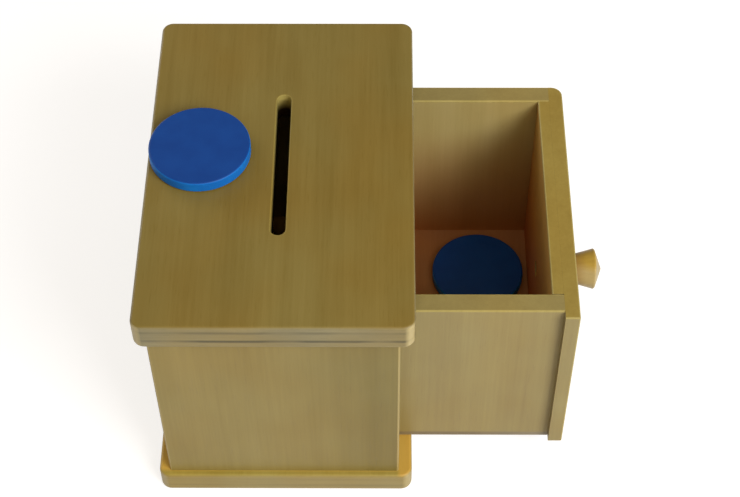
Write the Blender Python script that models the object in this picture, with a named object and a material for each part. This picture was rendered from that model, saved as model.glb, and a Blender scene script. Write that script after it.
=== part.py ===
"""A wooden object permanence box: a disc goes in at the slot in its top and is found again in the drawer.

Metres, +Z up. The origin is the centre of the base board's underside. The drawer slides along X and
is modelled pulled open, with one disc lying on the top board and one on the drawer's floor.
"""

import math

import bmesh
import bpy
from mathutils import Matrix, Vector

# The box: a top and a base board, with three walls between them and an open end at +X
BOX_WIDTH = 0.115  # top and base boards, along X
BOX_DEPTH = 0.172  # top and base boards, along Y
BOX_HEIGHT = 0.129  # floor to the face of the top board
TOP_THICKNESS = 0.014
BASE_THICKNESS = 0.012
WALL_THICKNESS = 0.018
FRONT_OVERHANG = 0.003  # of the top and base boards past the front and back walls
CLOSED_END_OVERHANG = 0.005  # past the end wall
OPEN_END_OVERHANG = 0.006  # past the open end, where the drawer's face comes to rest
CORNER_RADIUS = 0.005  # of the top and base boards, seen from above
EDGE_RADIUS = 0.0014  # sanded round edges of the top and base boards
EASED_EDGE = 0.0006  # sanded edges of the other boards
GLUE_GAP = 0.0003  # between faces that are glued or rest on each other

# The slot in the top board, round-ended, running front to back
SLOT_LENGTH = 0.079
SLOT_WIDTH = 0.0064
SLOT_X = 0.0003
SLOT_Y = 0.001
SLOT_CHAMFER = 0.0005

# The discs
DISC_DIAMETER = 0.044
DISC_THICKNESS = 0.0056
DISC_EDGE_RADIUS = 0.001
TOP_DISC_INSET = 0.0007  # from the top board's closed end
TOP_DISC_Y = 0.006
DRAWER_DISC_FRONT_INSET = 0.0026  # from the drawer's front board
DRAWER_DISC_FAR_INSET = 0.007  # from the drawer's far side

# The drawer: a box of four thin boards on a plywood bottom, with a face glued to its front
DRAWER_OPEN = 0.0685  # how far it stands out of the box
DRAWER_NEAR_CLEARANCE = 0.0008  # it lies against the front wall's side of its slack
DRAWER_FAR_CLEARANCE = 0.0022
DRAWER_TOP_CLEARANCE = 0.0045
DRAWER_END_CLEARANCE = 0.002  # from the end wall, when closed
DRAWER_SLIDE_GAP = 0.0004  # from the base board that it slides on
DRAWER_SIDE_THICKNESS = 0.009
DRAWER_END_THICKNESS = 0.005  # its front and back boards
DRAWER_BOTTOM_THICKNESS = 0.003
FACE_THICKNESS = 0.006
FACE_NEAR_OVERHANG = 0.0035  # past the near side of the drawer; it is flush with the far side
FACE_LIFT = 0.0006  # of its lower edge above the drawer's underside
FACE_CORNER_RADIUS = 0.005  # of its far corner, seen from above

# The knob, turned with a spigot that is glued through the drawer's face and front board
KNOB_RIM_DIAMETER = 0.0187
KNOB_NECK_DIAMETER = 0.0115
KNOB_RIM_REACH = 0.015  # face to rim
KNOB_POINT_LENGTH = 0.0036  # rim to tip
KNOB_EDGE_RADIUS = 0.0008
KNOB_DROP = 0.006  # below the middle of the drawer's face
SPIGOT_DIAMETER = 0.007
SPIGOT_RECESS = 0.0005  # of its end, in the drawer's front board

# Wooden dowels, screws and pins
DOWEL_DIAMETER = 0.006
DOWEL_DEPTH_IN_TOP = 0.008
DOWEL_DEPTH_IN_SIDE_WALL = 0.010
DOWEL_DEPTH_IN_EDGE = 0.014  # in the edge of the wall that meets the board
DRAWER_DOWEL_DIAMETER = 0.003
DRAWER_DOWEL_DEPTH_IN_SIDE = 0.005
DRAWER_DOWEL_DEPTH_IN_END = 0.009
DOWEL_CHAMFER = 0.0006
WALL_FASTENER_INSET = 0.024  # along a wall, from each end
WALL_DOWEL_INSET = 0.026  # up and down a wall's end, from each corner
DRAWER_DOWEL_INSET = 0.020  # from the drawer's top and bottom
SCREW_LENGTH = 0.032
SCREW_DIAMETER = 0.0036
SCREW_HEAD_DIAMETER = 0.0072
SCREW_HEAD_LIP = 0.0005
SCREW_RECESS = 0.0006  # of its head in the base board's underside
PIN_LENGTH = 0.012
PIN_DIAMETER = 0.0014
PIN_HEAD_DIAMETER = 0.003
PIN_HEAD_HEIGHT = 0.0006
PIN_RECESS = 0.0003
PIN_INSET = 0.012  # along a drawer side, from each end

# How finely round shapes are faceted
DISC_STEPS = 48
KNOB_STEPS = 32
ROD_STEPS = 12
CORNER_STEPS = 5
EDGE_STEPS = 3
CUT_MARGIN = 0.001  # a cutter's reach past the surface that it opens
MERGE_DISTANCE = 1e-6

# The box's places, worked out from those sizes
top_underside = BOX_HEIGHT - TOP_THICKNESS
wall_bottom = BASE_THICKNESS + GLUE_GAP
wall_top = top_underside - GLUE_GAP
wall_left = -BOX_WIDTH / 2 + CLOSED_END_OVERHANG
wall_right = BOX_WIDTH / 2 - OPEN_END_OVERHANG
wall_outer_y = BOX_DEPTH / 2 - FRONT_OVERHANG
wall_inner_y = wall_outer_y - WALL_THICKNESS
wall_middle_y = wall_outer_y - WALL_THICKNESS / 2
end_wall_right = wall_left + WALL_THICKNESS
end_wall_middle_x = wall_left + WALL_THICKNESS / 2

# The drawer's places with the drawer closed; its parent carries it out to DRAWER_OPEN
drawer_near_y = -wall_inner_y + DRAWER_NEAR_CLEARANCE
drawer_far_y = wall_inner_y - DRAWER_FAR_CLEARANCE
drawer_middle_y = (drawer_near_y + drawer_far_y) / 2
drawer_inner_near_y = drawer_near_y + DRAWER_SIDE_THICKNESS
drawer_inner_far_y = drawer_far_y - DRAWER_SIDE_THICKNESS
drawer_back_x = end_wall_right + DRAWER_END_CLEARANCE
drawer_front_x = wall_right
drawer_underside = BASE_THICKNESS + DRAWER_SLIDE_GAP
drawer_floor = drawer_underside + DRAWER_BOTTOM_THICKNESS
drawer_wall_bottom = drawer_floor + GLUE_GAP
drawer_top = top_underside - DRAWER_TOP_CLEARANCE
face_inner_x = drawer_front_x + GLUE_GAP
face_outer_x = face_inner_x + FACE_THICKNESS
face_bottom = drawer_underside + FACE_LIFT
knob_z = (face_bottom + drawer_top) / 2 - KNOB_DROP


def srgb(code):
    """A colour written as RRGGBB, in the linear values that shaders take."""
    parts = [int(code[i : i + 2], 16) / 255 for i in (0, 2, 4)]
    linear = [c / 12.92 if c <= 0.04045 else ((c + 0.055) / 1.055) ** 2.4 for c in parts]
    return (*linear, 1.0)


def finish(name, colour, roughness, metallic=0.0):
    material = bpy.data.materials.new(name)
    material.use_nodes = True
    shader = material.node_tree.nodes["Principled BSDF"]
    shader.inputs["Base Color"].default_value = srgb(colour)
    shader.inputs["Roughness"].default_value = roughness
    shader.inputs["Metallic"].default_value = metallic
    material.diffuse_color = srgb(colour)
    return material


def make(name, bm, material, parent=None, location=(0, 0, 0)):
    """A named object of one closed mesh, with its faces turned outwards."""
    bmesh.ops.recalc_face_normals(bm, faces=bm.faces[:])
    mesh = bpy.data.meshes.new(name)
    bm.to_mesh(mesh)
    bm.free()
    if material:
        mesh.materials.append(material)
    made = bpy.data.objects.new(name, mesh)
    made.parent = parent
    made.location = location
    bpy.context.scene.collection.objects.link(made)
    return made


def shade_round(made, sharp_angle=35):
    made.data.shade_smooth()
    made.data.set_sharp_from_angle(angle=math.radians(sharp_angle))


def box_mesh(size):
    bm = bmesh.new()
    bmesh.ops.create_cube(bm, size=1.0)
    bmesh.ops.scale(bm, vec=size, verts=bm.verts[:])
    return bm


def round_edges(made, radius, steps):
    """Rounds every edge sharper than the corner facets that are already there."""
    bevel = made.modifiers.new("rounded edges", "BEVEL")
    bevel.width = radius
    bevel.segments = steps
    bevel.limit_method = "ANGLE"
    bevel.angle_limit = math.radians(40)


def board(name, low, high, material, parent=None):
    """A plain sawn board between two corners, with sanded edges."""
    low, high = Vector(low), Vector(high)
    made = make(name, box_mesh(high - low), material, parent, (low + high) / 2)
    round_edges(made, EASED_EDGE, 1)
    return made


def panel(name, bottom, thickness, material):
    """The top or base board: rounded corners seen from above, and rounded-over edges."""
    bm = box_mesh((BOX_WIDTH, BOX_DEPTH, thickness))
    upright = [e for e in bm.edges if abs(e.verts[0].co.z - e.verts[1].co.z) > thickness / 2]
    bmesh.ops.bevel(
        bm, geom=upright, offset=CORNER_RADIUS, segments=CORNER_STEPS, profile=0.5, affect="EDGES"
    )
    made = make(name, bm, material, location=(0, 0, bottom + thickness / 2))
    round_edges(made, EDGE_RADIUS, EDGE_STEPS)
    return made


def add_turned(bm, profile, steps, place):
    """Spins a profile of (radius, height) points, from axis to axis, about the place's own Z."""
    before = set(bm.verts)
    start = [bm.verts.new((radius, 0, height)) for radius, height in profile]
    edges = [bm.edges.new(pair) for pair in zip(start, start[1:])]
    bmesh.ops.spin(
        bm, geom=start + edges, cent=(0, 0, 0), axis=(0, 0, 1), angle=math.tau, steps=steps, use_merge=True
    )
    turned = [v for v in bm.verts if v not in before]
    bmesh.ops.remove_doubles(bm, verts=turned, dist=MERGE_DISTANCE)
    turned = [v for v in bm.verts if v not in before]
    bmesh.ops.transform(bm, matrix=place, verts=turned)


def along(start, direction):
    """A place whose Z points from start along direction."""
    turn = Vector(direction).to_track_quat("Z", "Y").to_matrix().to_4x4()
    return Matrix.Translation(start) @ turn


def rounded_profile(radius, bottom, top, edge_radius, steps):
    """The profile of a turned disc whose two edges are rounded."""
    points = [(0, bottom)]
    for centre_height, first_angle in ((bottom + edge_radius, -90), (top - edge_radius, 0)):
        for step in range(steps + 1):
            angle = math.radians(first_angle + 90 * step / steps)
            reach = radius - edge_radius + edge_radius * math.cos(angle)
            points.append((reach, centre_height + edge_radius * math.sin(angle)))
    return points + [(0, top)]


def cut(made, bm, what):
    """Cuts a closed mesh, in the space of the piece's parent, out of a piece."""
    cutter = make(f"{made.name}_{what}", bm, None, made.parent)
    cutter.hide_render = True
    cutter.display_type = "WIRE"
    boolean = made.modifiers.new(what, "BOOLEAN")
    boolean.operation = "DIFFERENCE"
    boolean.solver = "EXACT"
    boolean.object = cutter


def rod_profile(radius, low, high):
    return [(0, low), (radius, low), (radius, high), (0, high)]


def dowel_pair(name, joint, direction, depth_ahead, depth_behind, diameter, parent=None):
    """Makes a dowel across a joint, and returns the (profile, place) hole that both boards need for it."""
    radius = diameter / 2
    place = along(joint, direction)
    bm = bmesh.new()
    profile = [
        (0, -depth_behind),
        (radius - DOWEL_CHAMFER, -depth_behind),
        (radius, DOWEL_CHAMFER - depth_behind),
        (radius, depth_ahead - DOWEL_CHAMFER),
        (radius - DOWEL_CHAMFER, depth_ahead),
        (0, depth_ahead),
    ]
    add_turned(bm, profile, ROD_STEPS, place)
    make(name, bm, dowel_wood, parent)
    hole = rod_profile(radius + GLUE_GAP, -depth_behind - GLUE_GAP, depth_ahead + GLUE_GAP)
    return hole, place


def drill(made, holes, what="holes"):
    """Cuts (profile, place) holes out of a board."""
    bm = bmesh.new()
    for profile, place in holes:
        add_turned(bm, profile, ROD_STEPS, place)
    cut(made, bm, what)


def slot_mesh():
    """The slot's round-ended outline at four heights, wider at each face of the board by a chamfer."""
    flare = SLOT_CHAMFER + CUT_MARGIN
    levels = (
        (top_underside - CUT_MARGIN, flare),
        (top_underside + SLOT_CHAMFER, 0),
        (BOX_HEIGHT - SLOT_CHAMFER, 0),
        (BOX_HEIGHT + CUT_MARGIN, flare),
    )
    end_centre = (SLOT_LENGTH - SLOT_WIDTH) / 2
    steps = 2 * CORNER_STEPS
    bm = bmesh.new()
    rings = []
    for height, spread in levels:
        ring = []
        for side in (1, -1):
            for step in range(steps + 1):
                angle = math.pi * step / steps
                reach = side * (SLOT_WIDTH / 2 + spread)
                x = SLOT_X + reach * math.cos(angle)
                y = SLOT_Y + side * end_centre + reach * math.sin(angle)
                ring.append(bm.verts.new((x, y, height)))
        rings.append([bm.edges.new(pair) for pair in zip(ring, ring[1:] + ring[:1])])
    for low, high in zip(rings, rings[1:]):
        bmesh.ops.bridge_loops(bm, edges=low + high)
    for ring in (rings[0], rings[-1]):
        bmesh.ops.contextual_create(bm, geom=ring)
    return bm


for old in list(bpy.data.objects):
    bpy.data.objects.remove(old, do_unlink=True)

board_wood = finish("lacquered board, top and base", "8E7A40", 0.45)
wall_wood = finish("lacquered wall board", "9C8C58", 0.45)
drawer_wood = finish("lacquered drawer board", "A08F5E", 0.45)
ply_wood = finish("thin plywood", "94824E", 0.55)
knob_wood = finish("turned pale wood", "C2AA74", 0.4)
dowel_wood = finish("fluted beech dowel", "B89A6A", 0.6)
screw_steel = finish("zinc plated steel", "9A9A98", 0.35, 1.0)
disc_paint = finish("blue painted wood", "1E4A90", 0.4)

# Box boards
top_board = panel("top_board", top_underside, TOP_THICKNESS, board_wood)
base_board = panel("base_board", 0, BASE_THICKNESS, board_wood)
front_wall = board(
    "front_wall",
    (wall_left, -wall_outer_y, wall_bottom),
    (wall_right, -wall_inner_y, wall_top),
    wall_wood,
)
back_wall = board(
    "back_wall",
    (wall_left, wall_inner_y, wall_bottom),
    (wall_right, wall_outer_y, wall_top),
    wall_wood,
)
end_wall = board(
    "end_wall",
    (wall_left, -wall_inner_y + GLUE_GAP, wall_bottom),
    (end_wall_right, wall_inner_y - GLUE_GAP, wall_top),
    wall_wood,
)
cut(top_board, slot_mesh(), "slot")

# Dowels that hold the top board and screws that hold the base, two to each wall
fastener_x = (wall_left + WALL_FASTENER_INSET, wall_right - WALL_FASTENER_INSET)
fastener_y = wall_inner_y - WALL_FASTENER_INSET
fastener_places = {
    front_wall: [(x, -wall_middle_y) for x in fastener_x],
    back_wall: [(x, wall_middle_y) for x in fastener_x],
    end_wall: [(end_wall_middle_x, y) for y in (-fastener_y, fastener_y)],
}
screw_radius = SCREW_DIAMETER / 2
head_radius = SCREW_HEAD_DIAMETER / 2
head_height = SCREW_HEAD_LIP + head_radius - screw_radius
screw_profile = [
    (0, SCREW_RECESS),
    (head_radius, SCREW_RECESS),
    (head_radius, SCREW_RECESS + SCREW_HEAD_LIP),
    (screw_radius, SCREW_RECESS + head_height),
    (screw_radius, SCREW_RECESS + SCREW_LENGTH - SCREW_DIAMETER),
    (0, SCREW_RECESS + SCREW_LENGTH),
]
screw_hole = [
    (0, -CUT_MARGIN),
    (head_radius + GLUE_GAP, -CUT_MARGIN),
    (head_radius + GLUE_GAP, SCREW_RECESS + SCREW_HEAD_LIP + GLUE_GAP),
    (screw_radius + GLUE_GAP, SCREW_RECESS + head_height + GLUE_GAP),
    (screw_radius + GLUE_GAP, SCREW_RECESS + SCREW_LENGTH + GLUE_GAP),
    (0, SCREW_RECESS + SCREW_LENGTH + GLUE_GAP),
]
wall_holes = {wall: [] for wall in fastener_places}
top_holes = []
base_holes = []
for wall, places in fastener_places.items():
    for x, y in places:
        number = len(top_holes) + 1
        hole = dowel_pair(
            f"top_dowel_{number}",
            (x, y, wall_top),
            (0, 0, 1),
            DOWEL_DEPTH_IN_TOP,
            DOWEL_DEPTH_IN_EDGE,
            DOWEL_DIAMETER,
        )
        top_holes.append(hole)
        screw_place = Matrix.Translation((x, y, 0))
        bm = bmesh.new()
        add_turned(bm, screw_profile, ROD_STEPS, screw_place)
        make(f"base_screw_{number}", bm, screw_steel)
        base_holes.append((screw_hole, screw_place))
        wall_holes[wall] += [hole, base_holes[-1]]

# Dowels through the joints between the end wall and its two neighbours
dowel_heights = (wall_bottom + WALL_DOWEL_INSET, wall_top - WALL_DOWEL_INSET)
wall_dowels = 0
for wall, side in ((front_wall, -1), (back_wall, 1)):
    for height in dowel_heights:
        wall_dowels += 1
        hole = dowel_pair(
            f"wall_dowel_{wall_dowels}",
            (end_wall_middle_x, side * wall_inner_y, height),
            (0, side, 0),
            DOWEL_DEPTH_IN_SIDE_WALL,
            DOWEL_DEPTH_IN_EDGE,
            DOWEL_DIAMETER,
        )
        wall_holes[wall].append(hole)
        wall_holes[end_wall].append(hole)

drill(top_board, top_holes)
drill(base_board, base_holes)
for wall, holes in wall_holes.items():
    drill(wall, holes)

# The drawer, on a parent that slides along X
drawer = bpy.data.objects.new("drawer_slide", None)
drawer.location = (DRAWER_OPEN, 0, 0)
bpy.context.scene.collection.objects.link(drawer)

board(
    "drawer_bottom",
    (drawer_back_x, drawer_near_y, drawer_underside),
    (drawer_front_x, drawer_far_y, drawer_floor),
    ply_wood,
    drawer,
)
near_side = board(
    "drawer_near_side",
    (drawer_back_x, drawer_near_y, drawer_wall_bottom),
    (drawer_front_x, drawer_inner_near_y, drawer_top),
    drawer_wood,
    drawer,
)
far_side = board(
    "drawer_far_side",
    (drawer_back_x, drawer_inner_far_y, drawer_wall_bottom),
    (drawer_front_x, drawer_far_y, drawer_top),
    drawer_wood,
    drawer,
)
drawer_ends = {}
for name, low_x in (
    ("drawer_back", drawer_back_x),
    ("drawer_front", drawer_front_x - DRAWER_END_THICKNESS),
):
    drawer_ends[name] = board(
        name,
        (low_x, drawer_inner_near_y + GLUE_GAP, drawer_wall_bottom),
        (low_x + DRAWER_END_THICKNESS, drawer_inner_far_y - GLUE_GAP, drawer_top),
        drawer_wood,
        drawer,
    )

# The face: its far outer corner is rounded, and its other edges are sanded like those of the boards
face_low = Vector((face_inner_x, drawer_near_y - FACE_NEAR_OVERHANG, face_bottom))
face_high = Vector((face_outer_x, drawer_far_y, drawer_top))
bm = box_mesh(face_high - face_low)
far_corner = [e for e in bm.edges if all(v.co.x > 0 and v.co.y > 0 for v in e.verts)]
bmesh.ops.bevel(
    bm, geom=far_corner, offset=FACE_CORNER_RADIUS, segments=CORNER_STEPS, profile=0.5, affect="EDGES"
)
face = make("drawer_face", bm, drawer_wood, drawer, (face_low + face_high) / 2)
round_edges(face, EASED_EDGE, 1)

# The knob: a spigot, a neck that flares to the rim, and a low cone for the end
knob_place = along((face_outer_x + GLUE_GAP, drawer_middle_y, knob_z), (1, 0, 0))
spigot_radius = SPIGOT_DIAMETER / 2
spigot_end = drawer_front_x - DRAWER_END_THICKNESS + SPIGOT_RECESS - face_outer_x - GLUE_GAP
neck_radius = KNOB_NECK_DIAMETER / 2
rim_radius = KNOB_RIM_DIAMETER / 2
flare = Vector((rim_radius - neck_radius, KNOB_RIM_REACH)).normalized() * KNOB_EDGE_RADIUS
slope = Vector((-rim_radius, KNOB_POINT_LENGTH)).normalized() * KNOB_EDGE_RADIUS
rim = Vector((rim_radius, KNOB_RIM_REACH))
tip_height = KNOB_RIM_REACH + KNOB_POINT_LENGTH
knob_profile = [
    (0, spigot_end),
    (spigot_radius, spigot_end),
    (spigot_radius, 0),
    (neck_radius, 0),
    tuple(rim - flare),
    tuple(rim - flare / 4 + slope / 4),
    tuple(rim + slope),
    (KNOB_EDGE_RADIUS, tip_height - KNOB_EDGE_RADIUS * KNOB_POINT_LENGTH / rim_radius),
    (0, tip_height - KNOB_EDGE_RADIUS * KNOB_POINT_LENGTH / rim_radius / 2),
]
bm = bmesh.new()
add_turned(bm, knob_profile, KNOB_STEPS, knob_place)
shade_round(make("knob", bm, knob_wood, drawer))
spigot_hole = rod_profile(spigot_radius + GLUE_GAP, spigot_end - SPIGOT_RECESS - CUT_MARGIN, CUT_MARGIN)
drill(face, [(spigot_hole, knob_place)], "spigot_hole")
drill(drawer_ends["drawer_front"], [(spigot_hole, knob_place)], "spigot_hole")

# Dowels in the drawer's corners
side_holes = {near_side: [], far_side: []}
drawer_dowels = 0
for end in drawer_ends.values():
    end_holes = []
    for side, joint_y, outward in (
        (near_side, drawer_inner_near_y, -1),
        (far_side, drawer_inner_far_y, 1),
    ):
        for height in (drawer_wall_bottom + DRAWER_DOWEL_INSET, drawer_top - DRAWER_DOWEL_INSET):
            drawer_dowels += 1
            hole = dowel_pair(
                f"drawer_dowel_{drawer_dowels}",
                (end.location.x, joint_y, height),
                (0, outward, 0),
                DRAWER_DOWEL_DEPTH_IN_SIDE,
                DRAWER_DOWEL_DEPTH_IN_END,
                DRAWER_DOWEL_DIAMETER,
                drawer,
            )
            end_holes.append(hole)
            side_holes[side].append(hole)
    drill(end, end_holes)

# Pins that hold the plywood bottom to the drawer's sides
pin_radius = PIN_DIAMETER / 2
pin_head_radius = PIN_HEAD_DIAMETER / 2
pin_start = drawer_underside + PIN_RECESS
pin_profile = [
    (0, 0),
    (pin_head_radius, 0),
    (pin_head_radius, PIN_HEAD_HEIGHT),
    (pin_radius, PIN_HEAD_HEIGHT),
    (pin_radius, PIN_LENGTH - PIN_DIAMETER),
    (0, PIN_LENGTH),
]
pin_hole = [
    (0, -PIN_RECESS - CUT_MARGIN),
    (pin_head_radius + GLUE_GAP, -PIN_RECESS - CUT_MARGIN),
    (pin_head_radius + GLUE_GAP, PIN_HEAD_HEIGHT + GLUE_GAP),
    (pin_radius + GLUE_GAP, PIN_HEAD_HEIGHT + GLUE_GAP),
    (pin_radius + GLUE_GAP, PIN_LENGTH + GLUE_GAP),
    (0, PIN_LENGTH + GLUE_GAP),
]
drawer_middle_x = (drawer_back_x + drawer_front_x) / 2
pin_x = (drawer_back_x + PIN_INSET, drawer_middle_x, drawer_front_x - PIN_INSET)
bottom_holes = []
for side in (near_side, far_side):
    for x in pin_x:
        place = Matrix.Translation((x, side.location.y, pin_start))
        bm = bmesh.new()
        add_turned(bm, pin_profile, ROD_STEPS, place)
        bottom_holes.append((pin_hole, place))
        side_holes[side].append(bottom_holes[-1])
        make(f"bottom_pin_{len(bottom_holes)}", bm, screw_steel, drawer)
drill(bpy.data.objects["drawer_bottom"], bottom_holes)
for side, holes in side_holes.items():
    drill(side, holes)

# The two discs, each with its origin at its own centre
disc_radius = DISC_DIAMETER / 2
disc_profile = rounded_profile(
    disc_radius, -DISC_THICKNESS / 2, DISC_THICKNESS / 2, DISC_EDGE_RADIUS, EDGE_STEPS
)
disc_lift = GLUE_GAP + DISC_THICKNESS / 2
top_disc_x = -BOX_WIDTH / 2 + TOP_DISC_INSET + disc_radius
drawer_disc_x = drawer_front_x - DRAWER_END_THICKNESS - DRAWER_DISC_FRONT_INSET - disc_radius
drawer_disc_y = drawer_inner_far_y - DRAWER_DISC_FAR_INSET - disc_radius
for name, parent, place in (
    ("disc_on_top", None, (top_disc_x, TOP_DISC_Y, BOX_HEIGHT + disc_lift)),
    ("disc_in_drawer", drawer, (drawer_disc_x, drawer_disc_y, drawer_floor + disc_lift)),
):
    bm = bmesh.new()
    add_turned(bm, disc_profile, DISC_STEPS, Matrix.Identity(4))
    shade_round(make(name, bm, disc_paint, parent, place))
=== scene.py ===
# %% [markdown]
# # A wooden object permanence box
#
# The real toy is a posting box for a small child. A blue disc goes into the slot in the top board, drops
# out of sight, and is found again in the drawer below.
# This lesson dresses the box for its picture. The measured solids are loaded as a fixed frame. Each board,
# knob, disc and fastener is then modelled again with edit-mode tools, in the place that the frame gives,
# and gets a finish made of shader nodes.

# %% Load the frame
import math

import bmesh
import bpy
from mathutils import Matrix, Vector


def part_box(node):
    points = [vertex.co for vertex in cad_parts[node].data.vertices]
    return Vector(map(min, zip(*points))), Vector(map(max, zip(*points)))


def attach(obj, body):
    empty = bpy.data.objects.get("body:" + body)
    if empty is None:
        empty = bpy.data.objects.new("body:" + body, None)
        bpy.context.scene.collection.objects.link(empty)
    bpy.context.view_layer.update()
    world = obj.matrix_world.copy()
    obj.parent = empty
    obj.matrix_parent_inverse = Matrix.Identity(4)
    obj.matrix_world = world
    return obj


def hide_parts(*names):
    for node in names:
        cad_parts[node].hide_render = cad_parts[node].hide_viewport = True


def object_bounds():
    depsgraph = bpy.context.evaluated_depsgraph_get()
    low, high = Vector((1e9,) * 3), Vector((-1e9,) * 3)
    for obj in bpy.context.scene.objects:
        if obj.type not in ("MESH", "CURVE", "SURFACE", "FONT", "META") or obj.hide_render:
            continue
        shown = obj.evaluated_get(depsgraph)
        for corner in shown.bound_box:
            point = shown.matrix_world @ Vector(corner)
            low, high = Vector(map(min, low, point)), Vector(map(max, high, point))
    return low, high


MM = 0.001
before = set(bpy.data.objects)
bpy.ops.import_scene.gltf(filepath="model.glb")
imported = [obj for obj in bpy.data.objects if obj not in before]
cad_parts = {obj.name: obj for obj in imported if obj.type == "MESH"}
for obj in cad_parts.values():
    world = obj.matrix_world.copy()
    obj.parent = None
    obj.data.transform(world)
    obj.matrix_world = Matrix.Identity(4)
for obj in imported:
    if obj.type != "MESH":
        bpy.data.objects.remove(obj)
cad_low, cad_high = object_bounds()

# %% [markdown]
# ## The camera
#
# The photograph looks steeply down on the box from the front, so the top board, the front wall and the
# inside of the open drawer all show. A camera can be aimed with a constraint, but three plain turns say
# more: how far it looks down, how far it is turned aside, and how far it leans. They were found by lining
# up the corners of the two boards with the picture. Its focal length is written in pixels of the picture,
# because that is how such a fit gives it, and the lens follows from the width of the sensor.

# %% Camera at the photograph's angle
IMAGE_WIDTH = 740
FOCAL_LENGTH_IN_PIXELS = 1686
SENSOR_WIDTH = 36  # in mm, a full frame
CAMERA_PLACE = Vector((0.0449, -0.4713, 0.6810))
LOOKS_DOWN = math.radians(52.36)
TURNED_ASIDE = math.radians(0.81)
LEANS = math.radians(-0.55)

bpy.ops.object.select_all(action="DESELECT")
bpy.ops.object.camera_add(location=CAMERA_PLACE)
camera = bpy.context.object
aim = (
    Matrix.Rotation(TURNED_ASIDE, 4, "Z")
    @ Matrix.Rotation(math.pi / 2 - LOOKS_DOWN, 4, "X")
    @ Matrix.Rotation(LEANS, 4, "Z")
)
camera.matrix_world = Matrix.Translation(CAMERA_PLACE) @ aim
camera.data.sensor_width = SENSOR_WIDTH
camera.data.lens = SENSOR_WIDTH * FOCAL_LENGTH_IN_PIXELS / IMAGE_WIDTH
bpy.context.scene.camera = camera
print("lens", round(camera.data.lens, 1), "mm")

# %% [markdown]
# ## Colours and nodes
#
# Colours are picked from a picture as hex codes, which are stored for a screen. Shaders calculate with
# light, so one function turns each code into linear values.
# A node editor is quick by hand and wordy in a script. One small function adds any node, sets its
# properties, and fills each input with a value or a link. An input goes by its name or its number. Mix has
# several of one name: 0 is its share, 6 and 7 take the two colours, and output 2 is the mixed one.

# %% Colour and node helpers
def linear(code):
    """The linear colour of a hex code such as 8E7A40."""
    channels = [int(code[i : i + 2], 16) / 255 for i in (0, 2, 4)]
    return [*(c / 12.92 if c <= 0.04045 else ((c + 0.055) / 1.055) ** 2.4 for c in channels), 1]


def node(tree, kind, inputs, stops=(), **settings):
    """Adds a shader node. An input is a value, an output or a node, and stops are a ramp's two colours."""
    made = tree.nodes.new("ShaderNode" + kind)
    for name, value in settings.items():
        setattr(made, name, value)
    for socket, value in inputs.items():
        if isinstance(value, bpy.types.Node):
            value = value.outputs[0]
        if isinstance(value, bpy.types.NodeSocket):
            tree.links.new(value, made.inputs[socket])
        else:
            made.inputs[socket].default_value = value
    for number, (position, colour) in enumerate(stops):
        stop = made.color_ramp.elements[number]
        stop.position = position
        stop.color = linear(colour)
    return made


def new_finish(name):
    """An empty material and its node tree."""
    material = bpy.data.materials.new(name)
    material.use_nodes = True
    material.node_tree.nodes.clear()
    return material, material.node_tree


print("a mid grey in linear light:", [round(c, 3) for c in linear("808080")[:3]])

# %% [markdown]
# ## Floor and light
#
# The object stands on white, and its light comes from the front and the right, rather low: the front wall
# is as bright as the top board, the discs' edges are brightest on the right, and the drawer's front throws
# a slanting shadow on the far side inside.
# A large sheet of paper stands in for the table. It is an ordinary matt grey for the light that it bounces
# back onto the wood. Only rays from the camera, from reflections and through glass see it glow as well,
# which brings it up to white and leaves the soft shadow under the box.
# One square lamp makes the direction of the light. A weak, warm one above the camera reaches into the drawer,
# as the light of a room does, and a low one behind stops the two far sides from going black. The sky fills
# what shadows are left.

# %% Floor and sky
FLOOR_SIZE = 40.0
FLOOR_DROP = 0.2 * MM
FLOOR_GLOW = 0.7
PAPER_GREY = "BEBEBE"
SKY = (0.29, 0.26, 0.22, 1)

bpy.ops.object.select_all(action="DESELECT")
bpy.ops.mesh.primitive_plane_add(size=FLOOR_SIZE, location=(0, 0, -FLOOR_DROP))
floor = bpy.context.object
floor.name = "paper_floor"

paper, tree = new_finish("matt paper")
ray = node(tree, "LightPath", {})
seen = node(tree, "Math", {0: ray.outputs["Is Camera Ray"], 1: ray.outputs["Is Glossy Ray"]}, operation="ADD")
seen = node(tree, "Math", {0: seen, 1: ray.outputs["Is Transmission Ray"]}, operation="ADD", use_clamp=True)
glow = node(tree, "Math", {0: seen, 1: FLOOR_GLOW}, operation="MULTIPLY")
glowing = node(tree, "Emission", {"Strength": glow})
matt = node(tree, "BsdfDiffuse", {"Color": linear(PAPER_GREY)})
both = node(tree, "AddShader", {0: matt, 1: glowing})
node(tree, "OutputMaterial", {"Surface": both})
floor.data.materials.append(paper)

world = bpy.data.worlds.new("warm even sky")
world.use_nodes = True
world.node_tree.nodes["Background"].inputs["Color"].default_value = SKY
bpy.context.scene.world = world
bpy.context.scene.view_settings.view_transform = "Standard"
print("a sky of", SKY[:3])

# %% Three lamps
LAMP_DISTANCE = 2.0
LAMP_SIZE = 1.0
LAMPS = (
    (Vector((0.55, -0.62, 0.62)), 32, "FFFFFF"),  # the direction that it shines from, watts, colour
    (Vector((0.05, -0.55, 0.83)), 5, "FFE2B8"),
    (Vector((-0.70, 0.66, 0.27)), 12, "FFFFFF"),
)

middle = (cad_low + cad_high) / 2
for direction, watts, colour in LAMPS:
    bpy.ops.object.light_add(type="AREA", location=middle + direction.normalized() * LAMP_DISTANCE)
    lamp = bpy.context.object
    lamp.rotation_euler = direction.to_track_quat("Z", "Y").to_euler()
    lamp.data.size = LAMP_SIZE
    lamp.data.energy = watts
    lamp.data.color = linear(colour)[:3]
    print("lamp at", [round(v, 2) for v in lamp.location], watts, "W")

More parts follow.
